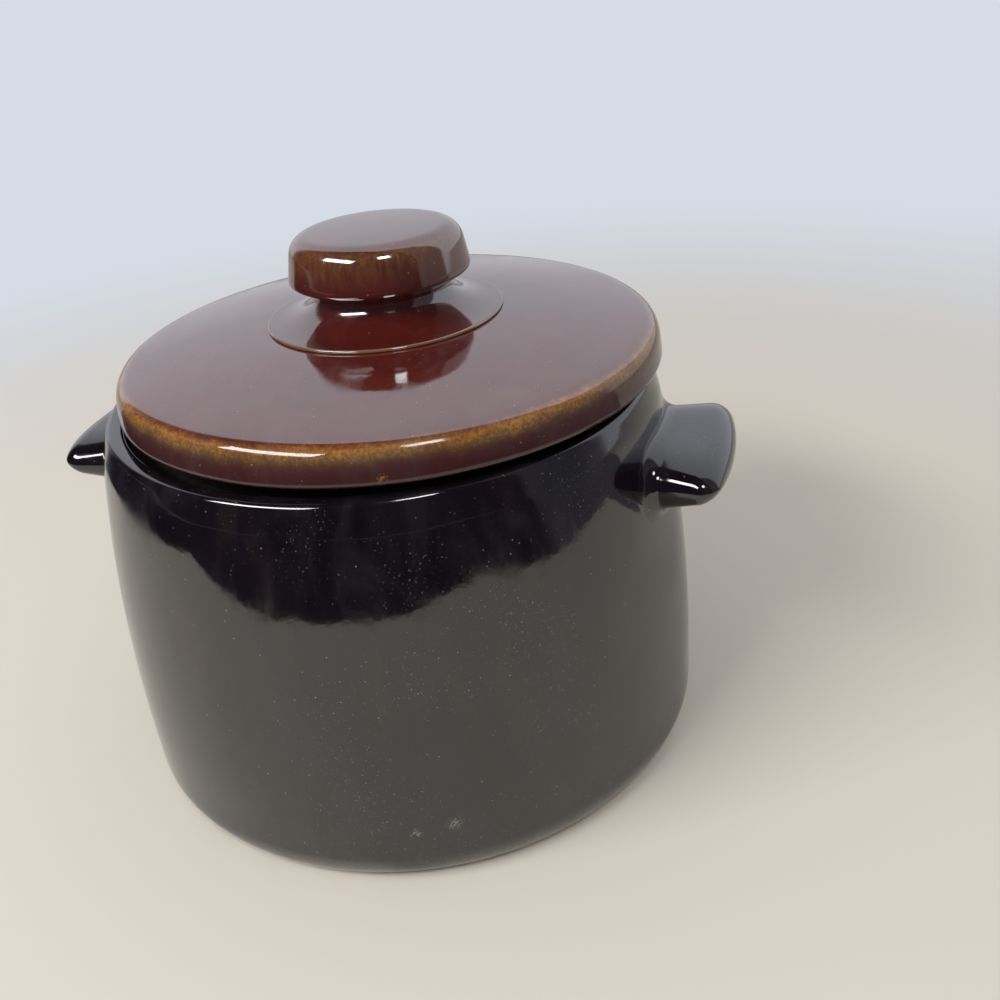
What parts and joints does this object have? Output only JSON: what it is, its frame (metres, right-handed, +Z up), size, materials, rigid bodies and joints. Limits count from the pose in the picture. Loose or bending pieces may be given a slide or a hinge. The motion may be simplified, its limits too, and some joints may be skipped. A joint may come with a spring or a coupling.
{
  "type": "stoneware bean pot",
  "caption": "Barrel-shaped glazed stoneware bean pot with solid lug handles and a loose lift-off lid with a round knob.",
  "frame": {"origin": "middle of the underside, on the surface the pot stands on", "axes": "+Z up, along the pot's axis; +X along the line through the two lugs"},
  "size_m": [0.2006, 0.1752, 0.152],
  "materials": {
    "pot_glaze": "glossy near-black brown glaze",
    "lid_glaze": "glossy red-brown glaze, amber where it breaks over the edges"
  },
  "bodies": {
    "pot": {"pot_body": "pot_glaze", "left_lug": "pot_glaze", "right_lug": "pot_glaze"},
    "lid": {"lid_plate": "lid_glaze", "lid_knob": "lid_glaze"}
  },
  "joints": [
    {"name": "lid_lift", "type": "slide", "parent": "pot", "child": "lid", "axis": [0, 0, 1], "range_m": [0, 0.08]}
  ]
}
